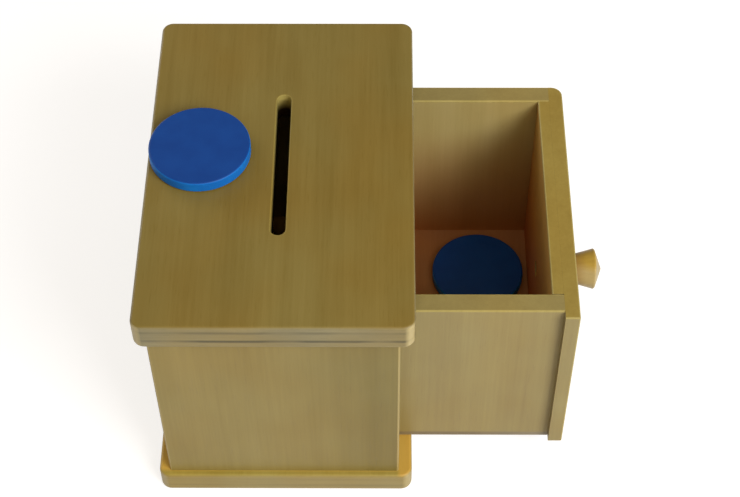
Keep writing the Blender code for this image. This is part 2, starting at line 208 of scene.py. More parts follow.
# %% [markdown]
# ## The wood finish
#
# The boards are sawn from a pale wood and sprayed with a yellowing lacquer. To the eye that is an even
# olive honey colour with faint streaks along the grain, hair-thin pores, and a satin shine.
# A wood picture could be wrapped round each board, but it would show the same face on every side. Noise
# that is computed in the space of the piece and drawn out along one axis runs through the board like real
# fibres: long streaks on its sides, and dots on its ends. Broad bands give the growth, narrow ones the
# fibres, short ones the pores, and an even cloud the uneven coat of lacquer.
# The ends of the fibres drink more lacquer, so a board's end grain is yellower than its sides. The
# direction that a face looks in mixes the two.

# %% Streaks and wood tone
BAND = (8 * MM, 190 * MM, 3)  # each pattern's width across the grain, length along it, and detail
FIBRE = (1.2 * MM, 46 * MM, 3)  # real fibres are finer, and would not show
PORE = (0.7 * MM, 8 * MM, 1)
CLOUD = (30 * MM, 42 * MM, 2)
BAND_SHARE = 0.39  # how much each pattern counts in the tone
FIBRE_SHARE = 0.27
CLOUD_SHARE = 0.34
PORE_SHARE = -0.07  # a pore is darker than the wood round it
PORE_HEIGHT = -0.8  # and lower
PORE_LEVELS = {"From Min": 0.62, "From Max": 0.74}  # the noise where a pore begins, and is fully open


def streaks(tree, place, grain, pattern):
    """Noise drawn out along the grain axis. With no axis, it is as wide every way."""
    across, along, detail = pattern
    scale = [1 / (along if axis == grain else across) for axis in "XYZ"]
    drawn_out = node(tree, "Mapping", {"Vector": place, "Scale": scale})
    return node(tree, "TexNoise", {"Vector": drawn_out, "Scale": 1, "Detail": detail})


def wood_tone(tree, place, grain):
    """The light and dark of wood, about 0.5, and the height of its fibres."""
    bands = streaks(tree, place, grain, BAND)
    fibres = streaks(tree, place, grain, FIBRE)
    pores = streaks(tree, place, grain, PORE)
    cloud = streaks(tree, place, grain, CLOUD)
    tone = node(tree, "Math", {0: cloud, 1: CLOUD_SHARE}, operation="MULTIPLY")
    tone = node(tree, "Math", {0: fibres, 1: FIBRE_SHARE, 2: tone}, operation="MULTIPLY_ADD")
    tone = node(tree, "Math", {0: bands, 1: BAND_SHARE, 2: tone}, operation="MULTIPLY_ADD")
    open_pores = node(tree, "MapRange", {"Value": pores, **PORE_LEVELS})
    tone = node(tree, "Math", {0: open_pores, 1: PORE_SHARE, 2: tone}, operation="MULTIPLY_ADD")
    height = node(tree, "Math", {0: open_pores, 1: PORE_HEIGHT, 2: fibres}, operation="MULTIPLY_ADD")
    return tone, height


print("bands", BAND[0] / MM, "mm wide, fibres", FIBRE[0] / MM, "mm")

# %% Stains and tints
FACING = {"From Min": 0.55, "From Max": 0.85}  # from a face that looks aside to one that looks along an axis
STAIN = (55 * MM, 75 * MM, 2)  # patches where the lacquer lies thicker
STAIN_LEVELS = {"From Min": 0.42, "From Max": 0.64}  # the noise where a patch begins, and is full
STAIN_TINT = "FFF0C8"


def looks_along(tree, where, axis):
    """1 on faces that look along an axis, either way, and 0 on faces that look across it."""
    along = node(tree, "SeparateXYZ", {"Vector": where.outputs["Normal"]}).outputs[axis]
    along = node(tree, "Math", {0: along}, operation="ABSOLUTE")
    return node(tree, "MapRange", {"Value": along, **FACING})


def stained(tree, place, colour, amount):
    """A colour with broad patches of thicker, warmer lacquer."""
    patch = streaks(tree, place, "Y", STAIN)
    patch = node(tree, "MapRange", {"Value": patch, **STAIN_LEVELS, "To Max": amount})
    mixed = node(
        tree, "Mix", {0: patch, 6: colour, 7: linear(STAIN_TINT)}, data_type="RGBA", blend_type="MULTIPLY"
    )
    return mixed.outputs[2]


def tinted(tree, place, colour, tint, direction, full, none):
    """A colour multiplied by a tint, all of it at one distance along a direction and nothing at another."""
    level = node(tree, "VectorMath", {0: place, 1: direction}, operation="DOT_PRODUCT").outputs["Value"]
    share = node(tree, "MapRange", {"Value": level, "From Min": none, "From Max": full})
    mixed = node(
        tree, "Mix", {0: share, 6: colour, 7: linear(tint)}, data_type="RGBA", blend_type="MULTIPLY"
    )
    return mixed.outputs[2]


print("stains", STAIN[0] / MM, "mm across")

# %% Lacquer, and solid wood under it
SATIN = 0.46  # the roughness of lacquered wood
SMOOTHER = 0.06  # how far a roughness goes either way
ROUGHER = 0.08
LACQUER_IOR = 1.5
LACQUER_SPECULAR = 0.4
FIBRE_BUMP = 0.06 * MM
FIBRE_BUMP_STRENGTH = 0.35
WOOD_STAIN = 0.35  # how strong the stains are, up to 1
TONES = (0.28, 0.70)  # the tones that take a wood's dark and pale colour


def lacquer(tree, colour, height, roughness):
    """A satin coat over the wood: the fibres still show in its surface."""
    reach = {"To Min": roughness - SMOOTHER, "To Max": roughness + ROUGHER}
    uneven = node(tree, "MapRange", {"Value": height, **reach})
    bump = {"Height": height, "Strength": FIBRE_BUMP_STRENGTH, "Distance": FIBRE_BUMP}
    coat = {"IOR": LACQUER_IOR, "Specular IOR Level": LACQUER_SPECULAR, "Normal": node(tree, "Bump", bump)}
    surface = node(tree, "BsdfPrincipled", {"Base Color": colour, "Roughness": uneven, **coat})
    node(tree, "OutputMaterial", {"Surface": surface})


def wood(name, sides, grain, ends=None, roughness=SATIN, tints=()):
    """Solid wood with its grain along one axis. Each pair of colours is dark, pale.

    A tint is a colour, a direction, and the distances along it where the tint is full and where it ends.
    """
    material, tree = new_finish(name)
    where = node(tree, "TexCoord", {})
    place = where.outputs["Object"]
    tone, height = wood_tone(tree, place, grain)
    on_sides = node(tree, "ValToRGB", {"Fac": tone}, stops=zip(TONES, sides))
    on_ends = node(tree, "ValToRGB", {"Fac": tone}, stops=zip(TONES, ends or sides))
    is_end = looks_along(tree, where, grain)
    colour = node(tree, "Mix", {0: is_end, 6: on_sides, 7: on_ends}, data_type="RGBA").outputs[2]
    colour = stained(tree, place, colour, WOOD_STAIN)
    for tint in tints:
        colour = tinted(tree, place, colour, *tint)
    lacquer(tree, colour, height, roughness)
    return material


print("lacquered wood is", SATIN, "rough")

# %% Wall and drawer finishes
# Sanding takes the lacquer off an edge first, so each board has a second, paler finish for its edges.
# Near the open end the walls are darker.
OUTWARD = (1, 0, 0)  # the way that the drawer opens
wall_low, wall_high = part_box("front_wall")
DARKER_OPEN_END = ("E4E6DE", OUTWARD, wall_high.x - 10 * MM, wall_high.x - 55 * MM)
wall_wood = wood("lacquered wall board", ("89773A", "A08F54"), "Z", tints=[DARKER_OPEN_END])
wall_arris = wood("lacquered wall board, sanded edge", ("A4925A", "B8A66E"), "Z")
drawer_wood = wood("lacquered drawer board", ("938150", "A89A66"), "Z", ends=("8D7E4B", "A19259"))
face_wood = wood("lacquered drawer face", ("938150", "A89A66"), "Z", ends=("927C36", "A69147"))
drawer_arris = wood("lacquered drawer board, sanded edge", ("A4944E", "B8A866"), "Z")
# Inside, the boards are bare and rougher. Their paler colour is painted light for the inside of the drawer.
# Further down they turn darker and redder: painted shade, with the red of light bounced off the floor.
UP = (0, 0, 1)
BARE = 0.6
side_low, side_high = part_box("drawer_far_side")
PAINTED_RED_SHADE = ("E8A684", UP, side_low.z + 2.3 * MM, side_high.z - 18.5 * MM)
bare = {"roughness": BARE, "tints": [PAINTED_RED_SHADE]}
drawer_inside = wood("bare drawer board, inside", ("AC9A5E", "BCAC74"), "Z", **bare)
# The front board's inside is warmer and paler: painted warm bounce light, on a face in shade from the lamp.
front_inside = wood("bare drawer front, inside", ("C2974C", "D4A960"), "Z", **bare)
print("seven wood finishes, with end grain on the drawer's rim")

# %% [markdown]
# ## The plywood finish
#
# The top and base boards are thicker, and the top's front edge shows two dark lines: it is plywood, with a
# face veneer on either side of a crossed core. The lines are the glue.
# Lines could be painted on the edge by a second material. Here the whole board is one block of layers: a
# point's height in the board says which layer it is in, so the lines turn every corner and go through the
# slot by themselves. Glue squeezes out unevenly, so a slow noise makes the lines come and go. The faces are
# yellow from the lacquer, the cut edges greyer, and the round corners paler, from wear and a painted
# highlight. The base has a deeper, golden colour between the walls and at the open end, where the drawer
# hangs over it: painted warm light, bounced there by the walls and the drawer.

# %% Glue lines
GLUE_WOBBLE = 0.5 * MM
GLUE_FADE = {"From Min": 0.3 * MM, "From Max": 1.2 * MM}  # real lines are finer, and would not show
GLUE_PATCH = (30 * MM, 30 * MM, 2)
GLUE_LEVELS = {"From Min": 0.35, "From Max": 0.6, "To Min": 0.3}  # the noise that makes it faint, and full
LINE_HEIGHTS = (0.75, 0.34)  # as shares of the board's thickness; the core is not quite in the middle


def glue_lines(tree, place, colour, low, high, glue, strengths):
    """Draws the upper and the lower glue line of a board over the colour of its edge."""
    patch = streaks(tree, place, "", GLUE_PATCH)
    wobble = node(tree, "MapRange", {"Value": patch, "To Min": -GLUE_WOBBLE, "To Max": GLUE_WOBBLE})
    patchy = node(tree, "MapRange", {"Value": patch, **GLUE_LEVELS})
    level = node(tree, "SeparateXYZ", {"Vector": place}).outputs["Z"]
    level = node(tree, "Math", {0: level, 1: wobble}, operation="ADD")
    for share, strength in zip(LINE_HEIGHTS, strengths):
        line_height = low + share * (high - low)
        away = node(tree, "Math", {0: level, 1: line_height}, operation="SUBTRACT")
        away = node(tree, "Math", {0: away}, operation="ABSOLUTE")
        line = node(tree, "MapRange", {"Value": away, **GLUE_FADE, "To Min": strength, "To Max": 0})
        line = node(tree, "Math", {0: line, 1: patchy}, operation="MULTIPLY")
        colour = node(tree, "Mix", {0: line, 6: colour, 7: linear(glue)}, data_type="RGBA").outputs[2]
    return colour


print("glue lines wander by", GLUE_WOBBLE / MM, "mm")

# %% Coats and rubbed corners
BOUNCE_FADE = 1 * MM
LOOKS_UP = {"From Min": 0.3, "From Max": 0.9}
# The paler upright corners are wear together with a painted highlight.
SLANTED = {"From Min": 0.15, "From Max": 0.45, "To Max": 0.8}  # the last is how far a corner is rubbed


def painted_warm_bounce(tree, where, colour, coat, past_x, within_y):
    """Painted warm bounce light on the upper face, past a distance along X or within one along Y."""
    place = node(tree, "SeparateXYZ", {"Vector": where.outputs["Object"]})
    aside = node(tree, "Math", {0: place.outputs["Y"]}, operation="ABSOLUTE")
    fade = {"From Min": within_y + BOUNCE_FADE, "From Max": within_y - BOUNCE_FADE}
    inner = node(tree, "MapRange", {"Value": aside, **fade})
    fade = {"From Min": past_x - BOUNCE_FADE, "From Max": past_x + BOUNCE_FADE}
    open_end = node(tree, "MapRange", {"Value": place.outputs["X"], **fade})
    covered = node(tree, "Math", {0: inner, 1: open_end}, operation="MAXIMUM")
    normal = node(tree, "SeparateXYZ", {"Vector": where.outputs["Normal"]})
    upward = node(tree, "MapRange", {"Value": normal.outputs["Z"], **LOOKS_UP})
    covered = node(tree, "Math", {0: covered, 1: upward}, operation="MULTIPLY")
    return node(tree, "Mix", {0: covered, 6: colour, 7: linear(coat)}, data_type="RGBA").outputs[2]


def pale_corners(tree, where, colour, pale):
    """Pales the upright corners, which look along X and Y at once: wear, and a painted highlight."""
    normal = node(tree, "SeparateXYZ", {"Vector": where.outputs["Normal"]})
    slant = node(tree, "Math", {0: normal.outputs["X"], 1: normal.outputs["Y"]}, operation="MULTIPLY")
    slant = node(tree, "Math", {0: slant}, operation="ABSOLUTE")
    rubbed = node(tree, "MapRange", {"Value": slant, **SLANTED})
    return node(tree, "Mix", {0: rubbed, 6: colour, 7: linear(pale)}, data_type="RGBA").outputs[2]


print("the coat fades out over", 2 * BOUNCE_FADE / MM, "mm")

# %% Plywood in layers
PLYWOOD_STAIN = 0.8


def plywood(name, low, high, face, edge, glue, lines, coat=None, tints=(), corner=None):
    """Lacquered plywood between two heights. Lines are the strengths of its upper and lower glue line.

    Coat is the colour of painted warm bounce light on the upper face, and where it lies. Tints are as in
    solid wood, and corner is the colour of pale corners: wear and a painted highlight.
    """
    material, tree = new_finish(name)
    where = node(tree, "TexCoord", {})
    place = where.outputs["Object"]
    tone, height = wood_tone(tree, place, "Y")
    cross_tone, _ = wood_tone(tree, place, "X")
    faces = node(tree, "ValToRGB", {"Fac": tone}, stops=zip(TONES, face))
    edges = node(tree, "ValToRGB", {"Fac": cross_tone}, stops=zip(TONES, edge))
    edges = glue_lines(tree, place, edges, low, high, glue, lines)
    is_face = looks_along(tree, where, "Z")
    colour = node(tree, "Mix", {0: is_face, 6: edges, 7: faces}, data_type="RGBA").outputs[2]
    if coat:
        colour = painted_warm_bounce(tree, where, colour, *coat)
    colour = stained(tree, place, colour, PLYWOOD_STAIN)
    for tint in tints:
        colour = tinted(tree, place, colour, *tint)
    if corner:
        colour = pale_corners(tree, where, colour, corner)
    lacquer(tree, colour, height, SATIN)
    return material


print("plywood is stained", PLYWOOD_STAIN, "deep, solid wood", WOOD_STAIN)

# %% Top and base finishes
top_low, top_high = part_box("top_board")
base_low, base_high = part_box("base_board")
# The slot's inside turns dark further down: painted shade for the depth of the slot.
PAINTED_SLOT_SHADE = ("3A2818", UP, top_high.z - 9 * MM, top_high.z - 2.5 * MM)
YELLOW_END = ("FFF6D2", OUTWARD, base_low.x, base_low.x + 70 * MM)  # the lacquer ran to the closed end
top_plywood = plywood(
    "lacquered plywood, top",
    top_low.z,
    top_high.z,
    face=("7C6A2C", "8E7D40"),
    edge=("7A7252", "A09670"),
    glue="4E4A34",
    lines=(0.5, 0.9),
    corner="CCBA84",
)
slot_plywood = plywood(
    "lacquered plywood, slot",
    top_low.z,
    top_high.z,
    face=("8C7A38", "A08E4A"),
    edge=("A3934E", "B9A961"),
    glue="4E4020",
    lines=(0.2, 0.5),
    tints=[PAINTED_SLOT_SHADE],
)
base_plywood = plywood(
    "lacquered plywood, base",
    base_low.z,
    base_high.z,
    face=("98883C", "B0A259"),
    edge=("92824F", "A99A66"),
    glue="7A7048",
    lines=(0.2, 0.4),
    # A deeper golden colour here is painted warm light, bounced by the walls and the drawer onto the base.
    coat=("C8A751", wall_high.x, -wall_low.y),
    tints=[YELLOW_END],
    corner="BCAA74",
)
print("glue lines", [round(h * (top_high.z - top_low.z) / MM, 1) for h in LINE_HEIGHTS], "mm up the top")

# %% [markdown]
# ## The top board
#
# The top board has rounded corners, sanded edges, and a long slot with round ends.
# A bevel does all the rounding. The four upright edges come first, with the larger radius, and then the
# two rims in one go, so that the round edge runs round the corners.
# The slot is cut with a Boolean. Its cutter starts as a cylinder, turned by half a step so that no corner
# lies on the middle line, and its two halves are then pulled apart. A last small bevel takes the sharpness
# off the slot's rim, as a sanding block does. The slot's inside gets a finish of its own, which is like the
# top at the rim and dark further down, a painted shade for the depth of the slot.

# %% Boxes and bevels
TOUCH = 0.02 * MM


def start_box(name, low, high):
    """A cube that fills the space between two corners."""
    bpy.ops.object.select_all(action="DESELECT")
    bpy.ops.mesh.primitive_cube_add(size=1, location=(low + high) / 2, scale=high - low)
    piece = bpy.context.object
    piece.name = name
    bpy.ops.object.transform_apply()
    return piece


def pick(piece):
    """Selects one piece and nothing else."""
    bpy.ops.object.select_all(action="DESELECT")
    piece.select_set(True)
    bpy.context.view_layer.objects.active = piece


def edit(piece, mode):
    """Opens one piece in edit mode, with nothing selected."""
    pick(piece)
    bpy.ops.object.mode_set(mode="EDIT")
    bpy.ops.mesh.select_mode(type=mode)
    bpy.ops.mesh.select_all(action="DESELECT")


def bevel_edges(piece, wanted, radius, steps, material=-1):
    """Rounds the edges whose two ends pass the test."""
    edit(piece, "EDGE")
    mesh = bmesh.from_edit_mesh(piece.data)
    for edge in mesh.edges:
        edge.select_set(wanted(edge.verts[0].co, edge.verts[1].co))
    bmesh.update_edit_mesh(piece.data)
    bpy.ops.mesh.bevel(offset=radius, segments=steps, affect="EDGES", clamp_overlap=False, material=material)
    bpy.ops.object.mode_set(mode="OBJECT")


print("places within", TOUCH / MM, "mm count as one")

# %% Cutting and dressing
SMOOTH_BELOW = math.radians(42)


def apply_modifier(piece, kind, **settings):
    """Adds a modifier and applies it."""
    bpy.context.view_layer.objects.active = piece
    modifier = piece.modifiers.new(kind.lower(), kind)
    for name, value in settings.items():
        setattr(modifier, name, value)
    bpy.ops.object.modifier_apply(modifier=modifier.name)


def cut_out(piece, cutter):
    """Cuts one closed mesh out of a piece, and removes the cutter."""
    apply_modifier(piece, "BOOLEAN", operation="DIFFERENCE", solver="EXACT", object=cutter)
    bpy.data.objects.remove(cutter)


def dress(piece, body, node_name, slot, *finishes):
    """Shades a finished piece, adds materials, and lets it stand for its solid."""
    pick(piece)
    bpy.ops.object.shade_smooth_by_angle(angle=SMOOTH_BELOW)
    apply_modifier(piece, "WEIGHTED_NORMAL", keep_sharp=True)
    for finish in finishes:
        piece.data.materials.append(finish)
    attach(piece, body)
    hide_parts(node_name)


print("edges under", round(math.degrees(SMOOTH_BELOW)), "degrees are shaded smooth")

# %% A board with round corners
CORNER_RADIUS = 5 * MM
CORNER_STEPS = 8
ROUND_EDGE = 1.4 * MM
ROUND_EDGE_STEPS = 4


def rounded_panel(name, low, high):
    """A board with rounded corners and round edges."""
    panel = start_box(name, low, high)
    bevel_edges(panel, lambda a, b: abs(a.z - b.z) > TOUCH, CORNER_RADIUS, CORNER_STEPS)
    bevel_edges(panel, lambda a, b: abs(a.z - b.z) < TOUCH, ROUND_EDGE, ROUND_EDGE_STEPS)
    return panel


print("corners", CORNER_RADIUS / MM, "mm, edges", ROUND_EDGE / MM, "mm")

# %% Holes for the dowels
HOLE_SIDES = 24
HOLE_CLEARANCE = 0.3 * MM
AXIS_TURN = ((0, math.pi / 2, 0), (math.pi / 2, 0, 0), (0, 0, 0))  # lays a cylinder along X, Y or Z


def rod_axis(node_name):
    """A rod's middle, its length and radius, and the number of the axis that it lies along."""
    low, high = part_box(node_name)
    size = high - low
    axis = max(range(3), key=lambda i: size[i])
    return (low + high) / 2, size[axis], size[(axis + 1) % 3] / 2, axis


def drill(piece, rods):
    """Cuts a hole round each of these dowels out of a board."""
    bits = []
    for rod in rods:
        middle, length, radius, axis = rod_axis(rod)
        bpy.ops.object.select_all(action="DESELECT")
        bpy.ops.mesh.primitive_cylinder_add(
            vertices=HOLE_SIDES,
            radius=radius + HOLE_CLEARANCE,
            depth=length + 2 * HOLE_CLEARANCE,
            location=middle,
            rotation=AXIS_TURN[axis],
        )
        bits.append(bpy.context.object)
    for bit in bits:
        bit.select_set(True)
    bpy.ops.object.join()
    bpy.ops.object.transform_apply()
    cut_out(piece, bpy.context.object)


def nodes_named(*starts):
    """The solids whose names start with one of these words."""
    return sorted(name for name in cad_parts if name.startswith(starts))


top_dowels = nodes_named("top_dowel")
print(len(top_dowels), "dowels reach into the top board")

# %% Top board with its slot
SLOT_LENGTH = 79 * MM
SLOT_WIDTH = 6.4 * MM
SLOT_MIDDLE = Vector((0.3 * MM, 1 * MM, (top_low.z + top_high.z) / 2))
SLOT_SIDES = 40

top_board = rounded_panel("top_board_dressed", top_low, top_high)
bpy.ops.object.select_all(action="DESELECT")
bpy.ops.mesh.primitive_cylinder_add(
    vertices=SLOT_SIDES,
    radius=SLOT_WIDTH / 2,
    depth=2 * (top_high.z - top_low.z),
    location=SLOT_MIDDLE,
    rotation=(0, 0, math.pi / SLOT_SIDES),
)
bpy.ops.object.transform_apply()
slot_cutter = bpy.context.object
for side in (1, -1):
    edit(slot_cutter, "VERT")
    mesh = bmesh.from_edit_mesh(slot_cutter.data)
    for vert in mesh.verts:
        vert.select_set(side * (vert.co.y - SLOT_MIDDLE.y) > 0)
    mesh.select_flush(True)
    bmesh.update_edit_mesh(slot_cutter.data)
    bpy.ops.transform.translate(value=(0, side * (SLOT_LENGTH - SLOT_WIDTH) / 2, 0))
    bpy.ops.object.mode_set(mode="OBJECT")
cut_out(top_board, slot_cutter)
print("slot", SLOT_LENGTH / MM, "x", SLOT_WIDTH / MM, "mm")

# %% The slot's rim and its inside
SLOT_EASE = 0.5 * MM
SLOT_EASE_STEPS = 2
SQUARELY = 0.99  # a face whose normal goes this far along a direction looks that way


def in_slot(point, margin):
    """True for a point inside the slot's outline, or no more than a margin outside it."""
    return (
        abs(point.x - SLOT_MIDDLE.x) < SLOT_WIDTH / 2 + margin
        and abs(point.y - SLOT_MIDDLE.y) < SLOT_LENGTH / 2 + margin
    )


def on_slot_rim(a, b):
    """True for an edge of the slot that lies in either face of the board."""
    level = abs(a.z - b.z) < TOUCH and min(abs(a.z - top_low.z), abs(a.z - top_high.z)) < TOUCH
    return level and in_slot(a, TOUCH) and in_slot(b, TOUCH)


bevel_edges(top_board, on_slot_rim, SLOT_EASE, SLOT_EASE_STEPS)
for face in top_board.data.polygons:
    if in_slot(face.center, SLOT_EASE) and abs(face.normal.z) < SQUARELY:
        face.material_index = 1  # the slot's finish
drill(top_board, top_dowels)
dress(top_board, "box", "top_board", "board", top_plywood, slot_plywood)
print("top board of", len(top_board.data.polygons), "faces")

# %% [markdown]
# ## The base board
#
# The base has the same outline as the top, so the same function makes it. Six countersunk screws come up
# through it into the walls, and their heads sit just below its underside.
# Each screw hole is a turned shape: narrow for the shank, with a cone for the head. A lathe turns a profile
# about an axis, and Spin does the same with a row of corners. Here one corner is extruded from point to
# point along the profile, and the row is then spun into a closed solid. The same function turns the knob,
# the screws and the pins later on.

# %% A lathe
MERGE = 0.002 * MM  # corners closer than this become one, on the axis and at the seam


def turned(name, profile, start, axis, steps):
    """A solid spun from (radius, height) points. Its height runs from start along axis."""
    bpy.ops.object.select_all(action="DESELECT")
    bpy.ops.mesh.primitive_plane_add(size=MM)  # merged into its middle, it is the profile's first corner
    piece = bpy.context.object
    piece.name = name
    edit(piece, "VERT")
    bpy.ops.mesh.select_all(action="SELECT")
    bpy.ops.mesh.merge(type="CENTER")
    bpy.ops.mesh.select_all(action="SELECT")
    bpy.ops.transform.translate(value=(profile[0][0], 0, profile[0][1]))
    for (radius, height), (next_radius, next_height) in zip(profile, profile[1:]):
        move = (next_radius - radius, 0, next_height - height)
        bpy.ops.mesh.extrude_region_move(TRANSFORM_OT_translate={"value": move})
    bpy.ops.mesh.select_all(action="SELECT")
    bpy.ops.mesh.spin(steps=steps, angle=math.tau, center=(0, 0, 0), axis=(0, 0, 1))
    bpy.ops.mesh.select_all(action="SELECT")
    bpy.ops.mesh.remove_doubles(threshold=MERGE)
    bpy.ops.mesh.normals_make_consistent(inside=False)
    bpy.ops.object.mode_set(mode="OBJECT")
    turn = Vector(axis).to_track_quat("Z", "Y").to_matrix().to_4x4()
    piece.matrix_world = Matrix.Translation(start) @ turn
    bpy.ops.object.transform_apply()
    return piece


print("the lathe merges corners within", MERGE / MM, "mm")

# %% Base board with its countersunk holes
SCREW_HEAD_RADIUS = 3.6 * MM
SCREW_SHANK_RADIUS = 1.8 * MM
SCREW_LIP = 0.5 * MM
SCREW_CONE = SCREW_HEAD_RADIUS - SCREW_SHANK_RADIUS  # a countersink of 90 degrees
OVERCUT = 1 * MM  # a cutter goes this far past the face that it opens

screws = nodes_named("base_screw")
base_board = rounded_panel("base_board_dressed", base_low, base_high)


def foot(node_name):
    """The lowest point on the axis of an upright rod, and the rod's length."""
    low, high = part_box(node_name)
    return Vector(((low.x + high.x) / 2, (low.y + high.y) / 2, low.z)), high.z - low.z


def screw_hole(screw):
    """The space for one screw in a board, open at the underside."""
    start, length = foot(screw)
    head = SCREW_HEAD_RADIUS + HOLE_CLEARANCE
    shank = SCREW_SHANK_RADIUS + HOLE_CLEARANCE
    lip = SCREW_LIP + HOLE_CLEARANCE
    below = base_low.z - OVERCUT - start.z
    end = length + HOLE_CLEARANCE
    profile = [(0, below), (head, below), (head, lip), (shank, lip + SCREW_CONE), (shank, end), (0, end)]
    return turned("screw_hole", profile, start, UP, HOLE_SIDES)


for screw in screws:
    cut_out(base_board, screw_hole(screw))
dress(base_board, "box", "base_board", "board", base_plywood)
print("base board with", len(screws), "countersunk holes,", len(base_board.data.polygons), "faces")

# %% [markdown]
# ## The walls
#
# Three plain boards stand between the top and the base, set in a little from their edges. The fourth side
# is open, and the drawer goes in there.
# Each is a cube at the size of its solid. Its free edges are eased, and the bevel can give its new faces
# their own material, so they take the paler finish. The sides that are glued to a neighbour stay sharp and
# one of each pair grows by the width of the gap between the solids, so that a joint shows as a hairline.
# Then each wall is drilled for the dowels and screws that reach into it.

# %% Boards with eased edges
GLUED = 0.28 * MM  # closes the gap at a glued joint, but for a hairline
EASE_STEPS = 3


def eased_board(name, node_name, ease, finishes, glued, sharp=()):
    """A sawn board in the place of its solid. Its second finish, if any, goes on the eased edges.

    The edges of sides such as +X stay sharp, and glued sides also grow.
    """
    low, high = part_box(node_name)
    for side in glued:
        corner, grow = (high, GLUED) if side[0] == "+" else (low, -GLUED)
        corner["XYZ".index(side[1])] += grow
    piece = start_box(name, low, high)
    for finish in finishes:  # before the bevel, which can only use a material that is there
        piece.data.materials.append(finish)

    def sides_of(a, b):
        """The sides of the board that an edge lies in."""
        found = set()
        for sign, corner in (("+", high), ("-", low)):
            for axis in range(3):
                if max(abs(a[axis] - corner[axis]), abs(b[axis] - corner[axis])) < TOUCH:
                    found.add(sign + "XYZ"[axis])
        return found

    def is_free(a, b):
        """True for an edge between two sides, neither of them glued or sharp."""
        return len(sides_of(a, b)) == 2 and not sides_of(a, b) & {*glued, *sharp}

    bevel_edges(piece, is_free, ease, EASE_STEPS, material=1)
    return piece


def reaches_into(rod, node_name):
    """True if a rod's box and a board's box overlap."""
    rod_low, rod_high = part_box(rod)
    low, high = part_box(node_name)
    return all(rod_low[i] < high[i] and rod_high[i] > low[i] for i in range(3))


print("glued sides grow by", GLUED / MM, "mm")

# %% Front, back and end walls
WALL_EASE = 0.9 * MM
GLUED_SIDES = {
    "front_wall": ("+Z", "-Z"),
    "back_wall": ("+Z", "-Z"),
    "end_wall": ("+Z", "-Z", "+Y", "-Y"),
}
wall_rods = nodes_named("top_dowel", "wall_dowel")

for wall, glued in GLUED_SIDES.items():
    piece = eased_board(wall + "_dressed", wall, WALL_EASE, (wall_wood, wall_arris), glued)
    drill(piece, [rod for rod in wall_rods if reaches_into(rod, wall)])
    for screw in screws:
        if reaches_into(screw, wall):
            cut_out(piece, screw_hole(screw))
    dress(piece, "box", wall, "wall")
    print(piece.name, [round(v / MM, 1) for v in piece.dimensions], len(piece.data.polygons), "faces")

# %% [markdown]
# ## The drawer
#
# The drawer is a box of four thin boards with their grain upright, standing on a sheet of plywood. A face
# is glued on in front. It is flush with the far side and stands out past the near one.
# The boards are made like the walls, with finer eased edges. The face's far outer corner is rounded first,
# with its own larger radius, and then the edges round its outer side are eased. A last hole goes through the
# face and the front board for the spigot of the knob.

# %% Drawer boards
DRAWER_EASE = 0.7 * MM
SPIGOT_RADIUS = 3.5 * MM
DRAWER_BOARDS = {  # the glued sides, and the way to the inside
    "drawer_near_side": (("-Z",), Vector((0, 1, 0))),
    "drawer_far_side": (("-Z",), Vector((0, -1, 0))),
    "drawer_front": (("+Y", "-Y", "-Z"), Vector((-1, 0, 0))),
    "drawer_back": (("+Y", "-Y", "-Z"), Vector((1, 0, 0))),
}
pins = nodes_named("bottom_pin")
drawer_rods = nodes_named("drawer_dowel") + pins
knob_low, knob_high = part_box("knob")
knob_middle = (knob_low + knob_high) / 2


def bore_for_knob(piece, node_name):
    """Drills through a board for the knob's spigot."""
    low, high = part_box(node_name)
    bpy.ops.object.select_all(action="DESELECT")
    bpy.ops.mesh.primitive_cylinder_add(
        vertices=HOLE_SIDES,
        radius=SPIGOT_RADIUS + HOLE_CLEARANCE,
        depth=2 * (high.x - low.x),
        location=((low.x + high.x) / 2, knob_middle.y, knob_middle.z),
        rotation=AXIS_TURN[0],
    )
    bpy.ops.object.transform_apply()
    cut_out(piece, bpy.context.object)


for board, (glued, inward) in DRAWER_BOARDS.items():
    meets_face = () if board == "drawer_back" else ("+X",)
    outside, inside = drawer_wood, drawer_inside
    if board == "drawer_front":
        outside, inside = face_wood, front_inside
    finishes = (outside, drawer_arris, inside)
    piece = eased_board(board + "_dressed", board, DRAWER_EASE, finishes, glued, meets_face)
    for face in piece.data.polygons:
        if face.normal.dot(inward) > SQUARELY:
            face.material_index = finishes.index(inside)
    drill(piece, [rod for rod in drawer_rods if reaches_into(rod, board)])
    if board == "drawer_front":
        bore_for_knob(piece, board)
    dress(piece, "drawer", board, "drawer_wood")
    print(piece.name, [round(v / MM, 1) for v in piece.dimensions], len(piece.data.polygons), "faces")

# %% Drawer face
FACE_CORNER_RADIUS = 5 * MM
FACE_EASE = 0.6 * MM

face_low, face_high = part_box("drawer_face")
face_low.x -= GLUED
face = start_box("drawer_face_dressed", face_low, face_high)


def is_far_corner(a, b):
    """True for the upright edge at the face's far outer corner."""
    return min(a.x, b.x) > face_high.x - TOUCH and min(a.y, b.y) > face_high.y - TOUCH


def is_face_rim(a, b):
    """True for the outer edges that are left, but for those on the back and between the corner's facets."""
    level = abs(a.z - b.z) < TOUCH and max(a.x, b.x) > face_low.x + TOUCH
    near_edge = max(a.y, b.y) < face_low.y + TOUCH and min(a.x, b.x) > face_high.x - TOUCH
    return level or near_edge


for finish in (face_wood, drawer_arris):
    face.data.materials.append(finish)
bevel_edges(face, is_far_corner, FACE_CORNER_RADIUS, CORNER_STEPS)
bevel_edges(face, is_face_rim, FACE_EASE, EASE_STEPS, material=1)
bore_for_knob(face, "drawer_face")
dress(face, "drawer", "drawer_face", "drawer_wood")
print("face", [round(v / MM, 1) for v in face.dimensions])

# %% [markdown]
# ## The drawer's plywood bottom
#
# The floor of the drawer is a thin sheet of reddish plywood, pinned to the sides from below. It has only a
# thin coat, so it looks drier and darker than the boards. Its cut edge shows as a grey line under them.

